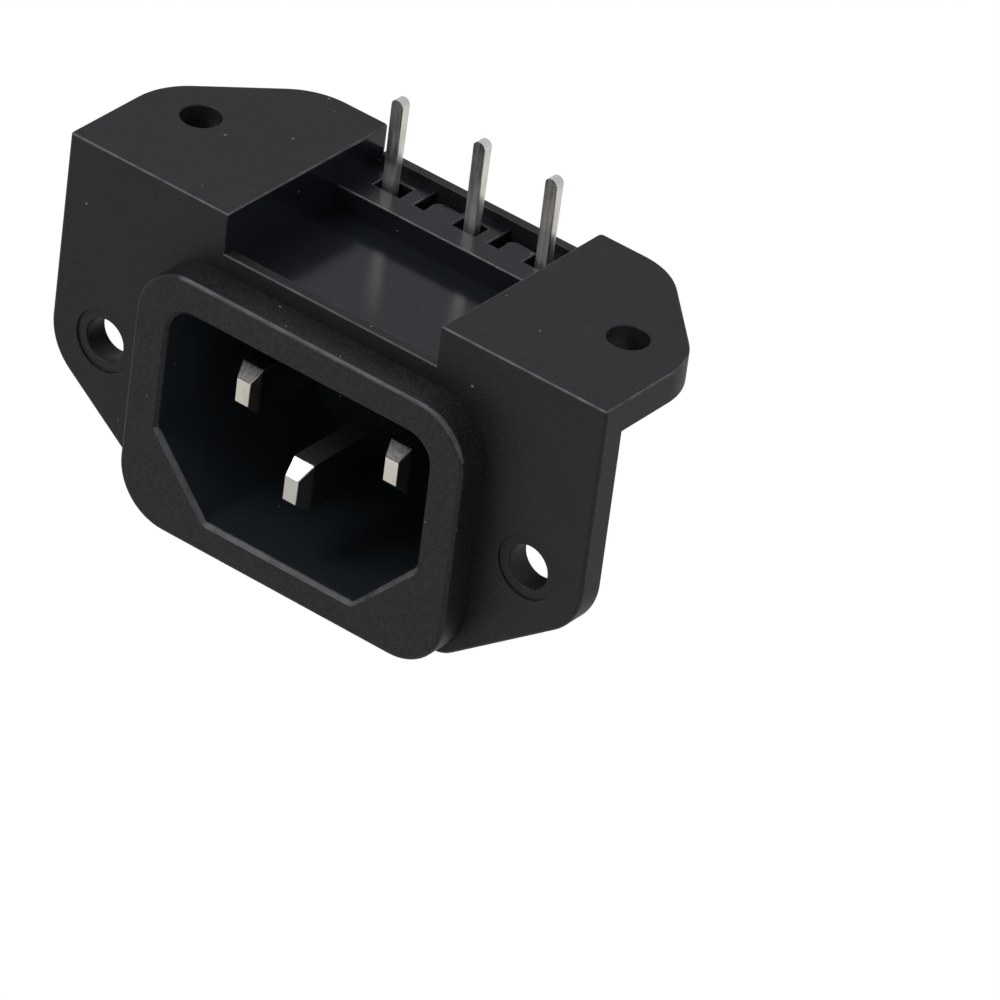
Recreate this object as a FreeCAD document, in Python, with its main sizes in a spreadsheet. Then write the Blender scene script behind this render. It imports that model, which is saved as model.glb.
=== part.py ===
import FreeCAD, Part
import math
import os
import re
import Sketcher

# Panel inlet socket of the C14 pattern, screwed to a panel through the two
# ears of its flange and soldered to a circuit board that lies on its feet.
#
# Frame: the origin is midway between the two panel screw holes, on the front
# face of the flange. +X is to the right seen from the front, +Y runs into the
# equipment and +Z is the way the solder legs point. Millimetres throughout.

MM_SIZES = (
    # Fixings
    ("panel_hole_pitch", 40.0, "panel screw holes, centre to centre"),
    ("panel_hole_diameter", 3.5, "panel screw hole"),
    ("panel_seat_diameter", 5.2, "shallow spot face round a panel hole"),
    ("panel_seat_depth", 0.15, "depth of that spot face"),
    ("board_hole_pitch", 40.0, "board screw holes in the feet, centre to centre"),
    ("board_hole_diameter", 3.2, "board screw hole"),
    ("board_hole_setback", 9.0, "board screw hole behind the flange front"),
    ("board_face_height", 15.85, "board face of the feet above the hole axis"),
    # Flange
    ("flange_thickness", 2.3, "flange, front to back"),
    ("ear_radius", 5.0, "round of each ear about its panel hole"),
    ("ear_slope", 36.87, "slope of the flange's lower edges, in degrees"),
    ("flange_corner_radius", 3.0, "where the slopes meet the bottom edge"),
    # Collar
    ("collar_width", 30.6, "collar that enters the panel cut-out"),
    ("collar_above", 10.95, "collar top above the hole axis"),
    ("collar_below", 11.05, "collar and flange bottom below the hole axis"),
    ("collar_projection", 2.8, "collar in front of the flange"),
    ("collar_corner_radius", 4.5, "collar corners"),
    ("collar_edge_radius", 0.35, "outer rim of the collar"),
    # Recess for the connector
    ("recess_width", 24.5, "recess, side to side"),
    ("recess_above", 8.05, "recess top above the hole axis"),
    ("recess_below", 8.45, "recess bottom below the hole axis"),
    ("recess_depth", 16.5, "recess, mouth to floor"),
    ("recess_corner_radius", 2.2, "upper corners of the recess"),
    ("recess_cut_width", 5.25, "keying chamfer along the bottom"),
    ("recess_cut_height", 5.75, "keying chamfer along the side"),
    ("recess_cut_radius", 0.6, "both ends of the keying chamfer"),
    ("mouth_chamfer", 0.3, "broken edge round the mouth"),
    # Box behind the flange
    ("box_wall", 1.2, "wall round the recess"),
    ("floor_wall", 2.05, "wall that carries the blades"),
    ("terminal_space", 2.2, "space for the terminals behind that wall"),
    ("cover_thickness", 0.8, "rear cover"),
    # Feet and the trough between them
    ("foot_thickness", 2.65, "foot plates"),
    ("foot_cut_width", 8.4, "slanted rear corner of a foot, along X"),
    ("foot_cut_depth", 8.55, "slanted rear corner of a foot, along Y"),
    ("foot_corner_radius", 6.0, "both ends of the slanted corner"),
    ("foot_inner_radius", 0.4, "rear inner corner of a foot"),
    ("trough_width", 19.86, "between the feet"),
    ("lip_height", 1.49, "lip above the trough floor"),
    ("lip_thickness", 1.0, "lip, front to back"),
    ("pad_height", 2.0, "terminal pad above the trough floor"),
    ("pad_depth", 4.85, "terminal pad, front to back"),
    ("pad_roof", 1.35, "thickness of the pad over the terminal space"),
    ("rim_radius", 0.3, "softened front rim of the flange"),
    ("board_rim_radius", 0.2, "softened rim of the board faces"),
    # Contact blades
    ("blade_width", 2.0, "blade section along X"),
    ("blade_height", 4.0, "blade section along Z"),
    ("live_pitch", 14.0, "line to neutral"),
    ("live_height", 1.8, "line and neutral above the hole axis"),
    ("earth_offset", 4.1, "earth below line and neutral"),
    ("live_setback", 2.95, "line and neutral tips behind the collar front"),
    ("earth_setback", 0.6, "earth tip behind the collar front"),
    ("tip_width", 1.2, "flat of a tip along X"),
    ("tip_height", 2.07, "flat of a tip along Z"),
    ("live_bevel", 1.0, "bevelled length of line and neutral"),
    ("earth_bevel", 1.4, "bevelled length of earth"),
    ("tenon_width", 1.2, "tenon behind a blade along X"),
    ("tenon_height", 2.4, "tenon behind a blade along Z"),
    ("tenon_stand", 0.3, "riveted end beyond the terminal"),
    ("blade_clearance", 0.05, "round a blade or tenon in its slot"),
    # Stamped terminals
    ("sheet", 0.85, "sheet thickness"),
    ("plate_width", 3.8, "line and neutral plates along X"),
    ("plate_height", 6.4, "line and neutral plates along Z"),
    ("leg_width", 1.05, "solder leg along X"),
    ("leg_reach", 4.45, "solder leg beyond the board face"),
    ("leg_tip_radius", 0.48, "corners of a leg's tip"),
    ("line_leg_place", 7.35, "line leg left of the centre"),
    ("earth_leg_place", 0.35, "earth leg right of the centre"),
    ("neutral_leg_place", 7.05, "neutral leg right of the centre"),
    ("earth_plate_width", 4.0, "earth plate and its tag along X"),
    ("earth_plate_rise", 2.2, "wide part of the earth plate above its blade"),
    ("neck_width", 3.0, "earth plate between the posts"),
    ("neck_rise", 7.2, "neck of the earth plate above its blade"),
    ("tag_drop", 4.45, "underside of the tag below the earth blade"),
    ("tag_reach", 5.3, "solder tag beyond the cover"),
    ("tag_hole_diameter", 1.6, "wire hole in the tag"),
    ("bend_radius", 0.4, "inside of the tag's bend"),
    # Openings in the terminal pad
    ("leg_gap_front", 0.6, "pad opening in front of a leg"),
    ("leg_gap_rear", 0.25, "pad opening behind a leg"),
    ("line_gap_left", 0.85, "pad opening left of the line leg's centre"),
    ("line_gap_right", 1.65, "pad opening right of the line leg's centre"),
    ("leg_gap_left", 1.15, "pad opening left of the other legs' centres"),
    ("leg_gap_right", 1.0, "pad opening right of the other legs' centres"),
    ("angle_place_left", 4.4, "left angled opening, its left edge"),
    ("angle_place_right", 2.6, "right angled opening, its left edge"),
    ("angle_limb_width", 0.95, "limb that runs front to back"),
    ("angle_limb_depth", 2.75, "length of that limb"),
    ("angle_rear_width", 3.1, "limb along the cover"),
    ("angle_rear_depth", 1.05, "depth of the limb along the cover"),
    ("angle_radius", 0.8, "round of the tongue's corner"),
    # Cover fixing
    ("post_pitch", 7.2, "staking posts, centre to centre"),
    ("post_place", 2.5, "staking posts above the hole axis"),
    ("post_diameter", 2.4, "staking post"),
    ("post_clearance", 0.1, "round a post in the cover"),
    ("head_diameter", 3.5, "staked head"),
    ("head_height", 0.85, "staked head behind the cover"),
    ("head_round", 0.5, "rounded rim of a head"),
    ("cover_inset", 0.5, "cover inside the outline of the box"),
    ("cover_rise", 0.75, "cover above the terminal pad"),
    ("cover_gap", 0.1, "cover to the feet"),
    ("tag_clearance", 0.15, "round the tag in the cover"),
    ("boss_width", 3.0, "pressing bosses inside the cover, along X"),
    ("boss_height", 1.0, "pressing bosses inside the cover, along Z"),
    ("boss_place", 2.4, "pressing bosses above and below a blade"),
    ("boss_clearance", 0.05, "pressing boss to terminal"),
)

doc = FreeCAD.newDocument("PanelInletSocket")
sheet = doc.addObject("Spreadsheet::Sheet", "Sizes")
for row, (alias, size, meaning) in enumerate(MM_SIZES, start=1):
    sheet.set("A%d" % row, meaning)
    sheet.set("B%d" % row, str(size))
    sheet.setAlias("B%d" % row, alias)
doc.recompute()

ALIASES = re.compile(r"\b(%s)\b" % "|".join(alias for alias, _, _ in MM_SIZES))

# Places that several pieces share, as formulas of the sizes above
HALF_FLANGE = "(panel_hole_pitch / 2 + ear_radius)"
EAR_CORNER = "(-ear_radius * (1 - sin(ear_slope * 1deg)) / cos(ear_slope * 1deg))"
HALF_BOTTOM = ("(panel_hole_pitch / 2 + (ear_radius - collar_below"
               " * cos(ear_slope * 1deg)) / sin(ear_slope * 1deg))")
RECESS_FLOOR = "(recess_depth - collar_projection)"
SEAT = "(%s + floor_wall)" % RECESS_FLOOR
RIM = "(%s + terminal_space)" % SEAT
COVER_REAR = "(%s + cover_thickness)" % RIM
FOOT_UNDER = "(board_face_height - foot_thickness)"
PAD_TOP = "(collar_above + pad_height)"
SPACE_TOP = "(%s - pad_roof)" % PAD_TOP
LEG_TOP = "(board_face_height + leg_reach)"
EARTH_HEIGHT = "(live_height - earth_offset)"
LIVE_TIP = "(live_setback - collar_projection)"
EARTH_TIP = "(earth_setback - collar_projection)"
CUT_ANGLE = "atan(recess_cut_height / recess_cut_width)"
CUT_SHIFT_X = "tan(%s / 2)" % CUT_ANGLE
CUT_SHIFT_Z = "tan(45deg - %s / 2)" % CUT_ANGLE


def bind(formula):
    """Formula of size names as an expression on the sheet."""
    return ALIASES.sub(r"Sizes.\1", formula)


def value(formula):
    """Present value of a formula, in millimetres."""
    found = sheet.evalExpression(bind(formula))
    return float(getattr(found, "Value", found))


def origin_plane(body, role):
    """Origin plane of a body, by its role."""
    for feature in body.Origin.OriginFeatures:
        if feature.Role == role:
            return feature
    raise ValueError(role)


def new_body(label):
    """Empty body with its label."""
    body = doc.addObject("PartDesign::Body", label)
    body.Label = label
    return body


def new_sketch(body, name, role, offset="0"):
    """Sketch on an origin plane, moved along the frame's axis by offset."""
    sketch = body.newObject("Sketcher::SketchObject", name)
    sketch.AttachmentSupport = [(origin_plane(body, role), "")]
    sketch.MapMode = "FlatFace"
    sign = "-1 * " if role == "XZ_Plane" else ""
    sketch.setExpression(".AttachmentOffset.Base.z", bind(sign + "(" + offset + ")"))
    doc.recompute()
    return sketch


def tie(sketch, kind, first, spot, formula):
    """Dimension one point of a sketch from its origin, or one radius."""
    if kind == "Radius":
        number = sketch.addConstraint(Sketcher.Constraint(kind, first, value(formula)))
    else:
        number = sketch.addConstraint(
            Sketcher.Constraint(kind, -1, 1, first, spot, value(formula)))
    sketch.setExpression("Constraints[%d]" % number, bind(formula))


def corner_geometry(before, here, after, radius):
    """Tangent points, centre and turning sense of one rounded corner."""
    to_before = (before - here).normalize()
    to_after = (after - here).normalize()
    half = to_before.getAngle(to_after) / 2
    reach = radius / math.tan(half)
    middle = (to_before + to_after).normalize()
    centre = here + middle * (radius / math.sin(half))
    left_turn = to_after.cross(to_before).z > 0
    return here + to_before * reach, here + to_after * reach, centre, left_turn


def add_loop(sketch, corners):
    """Closed outline of straight sides through corners (x, y, radius or None)."""
    points = [FreeCAD.Vector(value(x), value(y), 0) for x, y, _ in corners]
    count = len(points)
    leave, arrive, rounds = list(points), list(points), {}
    for index, (_, _, radius) in enumerate(corners):
        if radius is None:
            continue
        first, last, centre, left_turn = corner_geometry(
            points[index - 1], points[index], points[(index + 1) % count], value(radius))
        arrive[index], leave[index] = first, last
        rounds[index] = (first, last, centre, left_turn)
    sides = []
    for index in range(count):
        line = Part.LineSegment(leave[index], arrive[(index + 1) % count])
        sides.append(sketch.addGeometry(line, False))
    for index, (x, y, radius) in enumerate(corners):
        side_in, side_out = sides[index - 1], sides[index]
        if radius is None:
            sketch.addConstraint(Sketcher.Constraint("Coincident", side_in, 2, side_out, 1))
            tie(sketch, "DistanceX", side_out, 1, x)
            tie(sketch, "DistanceY", side_out, 1, y)
            continue
        first, last, centre, left_turn = rounds[index]
        circle = Part.Circle(centre, FreeCAD.Vector(0, 0, 1), value(radius))
        start, end = (first, last) if left_turn else (last, first)
        angles = [math.atan2(p.y - centre.y, p.x - centre.x) for p in (start, end)]
        arc = sketch.addGeometry(Part.ArcOfCircle(circle, angles[0], angles[1]), False)
        spot_in, spot_out = (1, 2) if left_turn else (2, 1)
        sketch.addConstraint(Sketcher.Constraint("Tangent", side_in, 2, arc, spot_in))
        sketch.addConstraint(Sketcher.Constraint("Tangent", arc, spot_out, side_out, 1))
        tie(sketch, "Radius", arc, 0, radius)
        corner = sketch.addGeometry(Part.Point(points[index]), True)
        sketch.addConstraint(Sketcher.Constraint("PointOnObject", corner, 1, side_in))
        sketch.addConstraint(Sketcher.Constraint("PointOnObject", corner, 1, side_out))
        tie(sketch, "DistanceX", corner, 1, x)
        tie(sketch, "DistanceY", corner, 1, y)


def add_box_loop(sketch, left, right, low, high, radius=None):
    """Rectangle between four formulas, its corners rounded alike."""
    add_loop(sketch, [(left, low, radius), (right, low, radius),
                      (right, high, radius), (left, high, radius)])


def add_circle(sketch, x, y, diameter):
    """Circle at a place, of a diameter."""
    centre = FreeCAD.Vector(value(x), value(y), 0)
    radius = "(%s) / 2" % diameter
    ring = sketch.addGeometry(
        Part.Circle(centre, FreeCAD.Vector(0, 0, 1), value(radius)), False)
    tie(sketch, "DistanceX", ring, 3, x)
    tie(sketch, "DistanceY", ring, 3, y)
    tie(sketch, "Radius", ring, 0, radius)


def settle(feature):
    """Recompute, and stop at a feature that failed."""
    doc.recompute()
    if "Invalid" in feature.State or "Error" in feature.State:
        raise RuntimeError("%s: %s" % (feature.Name, feature.getStatusString()))
    return feature


def pad(body, name, sketch, length, toward_rear=False, both_ways=False):
    """Solid of a sketch. Sketches that face the front grow to the rear on request."""
    feature = body.newObject("PartDesign::Pad", name)
    feature.Profile = sketch
    feature.setExpression("Length", bind(length))
    feature.Reversed = toward_rear
    feature.Midplane = both_ways
    return settle(feature)


def pocket(body, name, sketch, length, flip=False, both_ways=False):
    """Cut of a sketch, compared with the solid before it."""
    before = body.Shape.Volume
    feature = body.newObject("PartDesign::Pocket", name)
    feature.Profile = sketch
    feature.setExpression("Length", bind(length))
    feature.Reversed = flip
    feature.Midplane = both_ways
    settle(feature)
    if body.Shape.Volume > before - 1e-6:
        raise RuntimeError("%s cuts nothing" % name)
    return feature


def edge_names(shape, chosen):
    """Names of the edges whose middle point and edge pass the test."""
    names = []
    for number, edge in enumerate(shape.Edges, start=1):
        middle = edge.valueAt((edge.FirstParameter + edge.LastParameter) / 2)
        if chosen(middle, edge):
            names.append("Edge%d" % number)
    if not names:
        raise RuntimeError("no edge found")
    return names


def dress(body, kind, name, chosen, size):
    """Fillet or chamfer on the chosen edges of the body as it stands."""
    base = body.Tip
    names = edge_names(base.Shape, chosen)
    feature = body.newObject("PartDesign::" + kind, name)
    feature.Base = (base, names)
    prop = "Radius" if kind == "Fillet" else "Size"
    feature.setExpression(prop, bind(size))
    return settle(feature)


def near(first, second):
    """True where two lengths agree closely."""
    return abs(first - second) < 1e-4


def upright(edge):
    """True for a straight edge along Z."""
    along = edge.tangentAt((edge.FirstParameter + edge.LastParameter) / 2)
    return abs(along.z) > 0.999


def negative(formula):
    """Formula on the other side of the middle plane."""
    return "-1 * (%s)" % formula


def mirrored_loop(sketch, right_half):
    """Outline made of a right half, from bottom to top, and its mirror image."""
    left_half = [(negative(x), y, radius) for x, y, radius in reversed(right_half)]
    add_loop(sketch, list(right_half) + left_half)


def recess_half(grow, top, radius=None, cut_radius=None):
    """Right half of the recess outline, grown outwards by a wall."""
    wall = "(%s)" % grow
    half = "(recess_width / 2 + %s)" % wall
    foot = "(recess_width / 2 - recess_cut_width + %s * %s)" % (wall, CUT_SHIFT_X)
    knee = "(recess_cut_height - recess_below - %s * %s)" % (wall, CUT_SHIFT_Z)
    return [(foot, "-1 * (recess_below + %s)" % wall, cut_radius),
            (half, knee, cut_radius), (half, top, radius)]


def make_housing():
    """One moulding: flange, collar, box, feet, terminal pads and staking posts."""
    body = new_body("housing")

    plan = new_sketch(body, "FlangeOutline", "XZ_Plane")
    mirrored_loop(plan, [(HALF_BOTTOM, "-collar_below", "flange_corner_radius"),
                         (HALF_FLANGE, EAR_CORNER, "ear_radius"),
                         (HALF_FLANGE, "board_face_height", None)])
    pad(body, "Flange", plan, "flange_thickness", toward_rear=True)
    top = value("board_face_height")
    dress(body, "Fillet", "FlangeRim", lambda p, e: near(p.y, 0) and not near(p.z, top),
          "rim_radius")

    plan = new_sketch(body, "CollarOutline", "XZ_Plane", "-collar_projection")
    add_box_loop(plan, "-collar_width / 2", "collar_width / 2", "-collar_below",
                 "collar_above", "collar_corner_radius")
    pad(body, "Collar", plan, "collar_projection + flange_thickness", toward_rear=True)
    front = -value("collar_projection")
    dress(body, "Fillet", "CollarRim", lambda p, e: near(p.y, front), "collar_edge_radius")

    plan = new_sketch(body, "BoxOutline", "XZ_Plane")
    mirrored_loop(plan, recess_half("box_wall", FOOT_UNDER))
    pad(body, "Box", plan, RIM, toward_rear=True)

    plan = new_sketch(body, "FeetOutline", "XY_Plane", FOOT_UNDER)
    side = "(%s - foot_cut_depth)" % COVER_REAR
    rear = "(%s - foot_cut_width)" % HALF_FLANGE
    mirrored_loop(plan, [(HALF_FLANGE, "flange_thickness", None),
                         (HALF_FLANGE, side, "foot_corner_radius"),
                         (rear, COVER_REAR, "foot_corner_radius")])
    pad(body, "Feet", plan, "foot_thickness")

    # The trough runs from the lip at the front to the cover at the rear. Its
    # profile steps up from the floor to the pads that the solder legs pass.
    # Behind the rim it goes below the feet, which leaves the cover free.
    plan = new_sketch(body, "TroughProfile", "YZ_Plane")
    lip_top = "(collar_above + lip_height)"
    pad_front = "(%s - pad_depth)" % RIM
    above = "(board_face_height + foot_thickness)"
    behind = "(%s + foot_thickness)" % COVER_REAR
    below = "(%s - foot_thickness)" % FOOT_UNDER
    add_loop(plan, [("-lip_thickness", lip_top, None), ("lip_thickness", lip_top, None),
                    ("lip_thickness", "collar_above", None),
                    (pad_front, "collar_above", None), (pad_front, PAD_TOP, None),
                    (RIM, PAD_TOP, None), (RIM, below, None), (behind, below, None),
                    (behind, above, None), ("-lip_thickness", above, None)])
    pocket(body, "Trough", plan, "trough_width", both_ways=True)

    inner = value("trough_width / 2")
    back = value(COVER_REAR)
    dress(body, "Fillet", "FootInnerCorners",
          lambda p, e: near(abs(p.x), inner) and near(p.y, back) and upright(e),
          "foot_inner_radius")
    dress(body, "Fillet", "BoardFaceRims", lambda p, e: near(p.z, top), "board_rim_radius")

    plan = new_sketch(body, "RecessOutline", "XZ_Plane", "-collar_projection")
    mirrored_loop(plan, recess_half("0", "recess_above", "recess_corner_radius",
                                    "recess_cut_radius"))
    pocket(body, "Recess", plan, "recess_depth")
    limit = value("recess_width / 2") + 1e-3
    dress(body, "Chamfer", "Mouth",
          lambda p, e: near(p.y, front) and abs(p.x) < limit
          and -value("recess_below") - 1e-3 < p.z < value("recess_above") + 1e-3,
          "mouth_chamfer")

    plan = new_sketch(body, "TerminalSpaceOutline", "XZ_Plane", SEAT)
    mirrored_loop(plan, recess_half("0", SPACE_TOP))
    pocket(body, "TerminalSpace", plan, "terminal_space")

    plan = new_sketch(body, "BladeSlots", "XZ_Plane", RECESS_FLOOR)
    half_wide = "(blade_width / 2 + blade_clearance)"
    half_tall = "(blade_height / 2 + blade_clearance)"
    for x, z in (("-live_pitch / 2", "live_height"), ("0", EARTH_HEIGHT),
                 ("live_pitch / 2", "live_height")):
        add_box_loop(plan, "%s - %s" % (x, half_wide), "%s + %s" % (x, half_wide),
                     "%s - %s" % (z, half_tall), "%s + %s" % (z, half_tall))
    pocket(body, "BladeSlotCuts", plan, "floor_wall")

    plan = new_sketch(body, "PadOpenings", "XY_Plane", PAD_TOP)
    low = "(%s - leg_gap_front)" % SEAT
    high = "(%s + sheet + leg_gap_rear)" % SEAT
    add_box_loop(plan, "-line_leg_place - line_gap_left", "-line_leg_place + line_gap_right",
                 low, high)
    for place in ("earth_leg_place", "neutral_leg_place"):
        add_box_loop(plan, place + " - leg_gap_left", place + " + leg_gap_right", low, high)
    # Angled openings: a tongue is left in front of the limb along the cover.
    for left in ("-angle_place_left", "angle_place_right"):
        step = "%s - angle_rear_depth" % RIM
        add_loop(plan, [(left, "%s - angle_limb_depth" % RIM, None),
                        (left + " + angle_limb_width", "%s - angle_limb_depth" % RIM, None),
                        (left + " + angle_limb_width", step, "angle_radius"),
                        (left + " + angle_rear_width", step, None),
                        (left + " + angle_rear_width", RIM, None), (left, RIM, None)])
    pocket(body, "PadOpeningCuts", plan, "pad_roof")

    plan = new_sketch(body, "PanelHoles", "XZ_Plane")
    seats = new_sketch(body, "PanelSeats", "XZ_Plane")
    for x in ("-panel_hole_pitch / 2", "panel_hole_pitch / 2"):
        add_circle(plan, x, "0", "panel_hole_diameter")
        add_circle(seats, x, "0", "panel_seat_diameter")
    pocket(body, "PanelHoleCuts", plan, "flange_thickness")
    pocket(body, "PanelSeatCuts", seats, "panel_seat_depth")

    plan = new_sketch(body, "BoardHoles", "XY_Plane", "board_face_height")
    for x in ("-board_hole_pitch / 2", "board_hole_pitch / 2"):
        add_circle(plan, x, "board_hole_setback", "board_hole_diameter")
    pocket(body, "BoardHoleCuts", plan, "foot_thickness")

    posts = new_sketch(body, "Posts", "XZ_Plane", SEAT)
    heads = new_sketch(body, "Heads", "XZ_Plane", COVER_REAR)
    for x in ("-post_pitch / 2", "post_pitch / 2"):
        add_circle(posts, x, "post_place", "post_diameter")
        add_circle(heads, x, "post_place", "head_diameter")
    pad(body, "StakingPosts", posts, "%s - %s" % (COVER_REAR, SEAT), toward_rear=True)
    pad(body, "StakedHeads", heads, "head_height", toward_rear=True)
    end = value(COVER_REAR + " + head_height")
    dress(body, "Fillet", "HeadRims", lambda p, e: near(p.y, end), "head_round")
    return body


def make_cover():
    """Rear cover, held by the two staked posts, open for the earth tag."""
    body = new_body("rear_cover")
    plan = new_sketch(body, "CoverOutline", "XZ_Plane", RIM)
    foot, knee, _ = recess_half("box_wall - cover_inset", "0")
    between = "(trough_width / 2 - cover_gap)"
    under_feet = "(%s - cover_gap)" % FOOT_UNDER
    mirrored_loop(plan, [foot, knee, (knee[0], under_feet, None),
                         (between, under_feet, None),
                         (between, "%s + cover_rise" % PAD_TOP, None)])
    pad(body, "CoverPlate", plan, "cover_thickness", toward_rear=True)

    plan = new_sketch(body, "CoverOpenings", "XZ_Plane", RIM)
    for x in ("-post_pitch / 2", "post_pitch / 2"):
        add_circle(plan, x, "post_place", "(post_diameter + 2 * post_clearance)")
    tag_low = "(%s - tag_drop)" % EARTH_HEIGHT
    add_box_loop(plan, "-earth_plate_width / 2 - tag_clearance",
                 "earth_plate_width / 2 + tag_clearance", "%s - tag_clearance" % tag_low,
                 "%s + sheet + tag_clearance" % tag_low)
    pocket(body, "CoverOpeningCuts", plan, "cover_thickness")

    plan = new_sketch(body, "BossOutlines", "XZ_Plane", RIM)
    spots = [("-live_pitch / 2", "live_height"), ("live_pitch / 2", "live_height"),
             ("0", EARTH_HEIGHT)]
    for x, z in spots:
        for turn in ("+", "-"):
            middle = "(%s %s boss_place)" % (z, turn)
            width = "boss_width" if x != "0" else "(neck_width - 2 * post_clearance)"
            add_box_loop(plan, "%s - %s / 2" % (x, width), "%s + %s / 2" % (x, width),
                         "%s - boss_height / 2" % middle, "%s + boss_height / 2" % middle)
    pad(body, "Bosses", plan, "terminal_space - sheet - boss_clearance")
    return body


def make_blade(label, x, z, tip, bevel):
    """Solid contact blade with a bevelled tip and a rear tenon."""
    body = new_body(label)
    section = new_sketch(body, label + "_section", "XZ_Plane", "%s + %s" % (tip, bevel))
    add_box_loop(section, "-blade_width / 2", "blade_width / 2", "-blade_height / 2",
                 "blade_height / 2")
    shank = pad(body, label + "_shank", section, "%s - %s - %s" % (SEAT, tip, bevel),
                toward_rear=True)
    shank.Label = label + " shank"
    point = new_sketch(body, label + "_tip", "XZ_Plane", tip)
    add_box_loop(point, "-tip_width / 2", "tip_width / 2", "-tip_height / 2",
                 "tip_height / 2")
    base = new_sketch(body, label + "_bevel_root", "XZ_Plane", "%s + %s" % (tip, bevel))
    add_box_loop(base, "-blade_width / 2", "blade_width / 2", "-blade_height / 2",
                 "blade_height / 2")
    loft = body.newObject("PartDesign::AdditiveLoft", label + "_bevel")
    loft.Profile = base
    loft.Sections = [point]
    loft.Ruled = True
    settle(loft)
    tenon = new_sketch(body, label + "_tenon", "XZ_Plane", SEAT)
    add_box_loop(tenon, "-tenon_width / 2", "tenon_width / 2", "-tenon_height / 2",
                 "tenon_height / 2")
    pad(body, label + "_rivet", tenon, "sheet + tenon_stand", toward_rear=True)
    body.setExpression("Placement.Base.x", bind(x))
    body.setExpression("Placement.Base.z", bind(z))
    return body


def cut_tenon_hole(body, x, z):
    """Hole in a terminal for the tenon of its blade."""
    plan = new_sketch(body, body.Label + "_hole", "XZ_Plane", SEAT)
    half_wide = "(tenon_width / 2 + blade_clearance)"
    half_tall = "(tenon_height / 2 + blade_clearance)"
    add_box_loop(plan, "%s - %s" % (x, half_wide), "%s + %s" % (x, half_wide),
                 "%s - %s" % (z, half_tall), "%s + %s" % (z, half_tall))
    pocket(body, body.Label + "_hole_cut", plan, "sheet")


def make_live_terminal(label, x, leg):
    """Flat stamping on a line or neutral blade, with its solder leg."""
    body = new_body(label)
    plan = new_sketch(body, label + "_outline", "XZ_Plane", SEAT)
    left = "(%s - plate_width / 2)" % x
    right = "(%s + plate_width / 2)" % x
    low = "(live_height - plate_height / 2)"
    high = "(live_height + plate_height / 2)"
    leg_left = "(%s - leg_width / 2)" % leg
    leg_right = "(%s + leg_width / 2)" % leg
    add_loop(plan, [(left, low, None), (right, low, None), (right, high, None),
                    (leg_right, high, None), (leg_right, LEG_TOP, "leg_tip_radius"),
                    (leg_left, LEG_TOP, "leg_tip_radius"), (leg_left, high, None),
                    (left, high, None)])
    pad(body, label + "_blank", plan, "sheet", toward_rear=True)
    cut_tenon_hole(body, x, "live_height")
    return body


def make_earth_terminal():
    """Stamping on the earth blade: solder leg above, bent solder tag below."""
    body = new_body("earth_terminal")
    plan = new_sketch(body, "EarthOutline", "XZ_Plane", SEAT)
    wide = "(earth_plate_width / 2)"
    neck = "(neck_width / 2)"
    tag_low = "(%s - tag_drop)" % EARTH_HEIGHT
    shoulder = "(%s + earth_plate_rise)" % EARTH_HEIGHT
    neck_top = "(%s + neck_rise)" % EARTH_HEIGHT
    leg_left = "(earth_leg_place - leg_width / 2)"
    leg_right = "(earth_leg_place + leg_width / 2)"
    add_loop(plan, [(negative(wide), tag_low, None), (wide, tag_low, None),
                    (wide, shoulder, None), (neck, shoulder, None),
                    (neck, neck_top, None), (leg_right, neck_top, None),
                    (leg_right, LEG_TOP, "leg_tip_radius"),
                    (leg_left, LEG_TOP, "leg_tip_radius"), (leg_left, neck_top, None),
                    (negative(neck), neck_top, None), (negative(neck), shoulder, None),
                    (negative(wide), shoulder, None)])
    pad(body, "EarthBlank", plan, "sheet", toward_rear=True)
    cut_tenon_hole(body, "0", EARTH_HEIGHT)

    plan = new_sketch(body, "TagOutline", "XY_Plane", tag_low)
    tag_end = "(%s + tag_reach)" % COVER_REAR
    near_full = "(earth_plate_width * 0.4999)"
    add_loop(plan, [(negative(wide), SEAT, None), (wide, SEAT, None),
                    (wide, tag_end, near_full), (negative(wide), tag_end, near_full)])
    pad(body, "Tag", plan, "sheet")
    plan = new_sketch(body, "TagHole", "XY_Plane", "%s + sheet" % tag_low)
    add_circle(plan, "0", "%s - earth_plate_width / 2" % tag_end, "tag_hole_diameter")
    pocket(body, "TagHoleCut", plan, "sheet")

    low = value(tag_low)
    seat = value(SEAT)
    thick = value("sheet")
    dress(body, "Fillet", "BendInside",
          lambda p, e: near(p.y, seat + thick) and near(p.z, low + thick), "bend_radius")
    dress(body, "Fillet", "BendOutside",
          lambda p, e: near(p.y, seat) and near(p.z, low), "bend_radius + sheet")
    return body


def check(parts):
    """Every object sound and every part one valid solid, before anything is written."""
    for item in doc.Objects:
        if "Invalid" in item.State or "Error" in item.State:
            raise RuntimeError("%s: %s" % (item.Label, item.State))
    for part in parts:
        shape = part.Shape
        if shape.isNull() or not shape.isValid() or len(shape.Solids) != 1:
            raise RuntimeError("%s has no single valid solid" % part.Label)


live_left = "-live_pitch / 2"
live_right = "live_pitch / 2"
PARTS = [
    make_housing(),
    make_cover(),
    make_blade("line_blade", live_left, "live_height", LIVE_TIP, "live_bevel"),
    make_blade("neutral_blade", live_right, "live_height", LIVE_TIP, "live_bevel"),
    make_blade("earth_blade", "0", EARTH_HEIGHT, EARTH_TIP, "earth_bevel"),
    make_live_terminal("line_terminal", live_left, "(-line_leg_place)"),
    make_live_terminal("neutral_terminal", live_right, "neutral_leg_place"),
    make_earth_terminal(),
]
doc.recompute()
check(PARTS)

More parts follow.
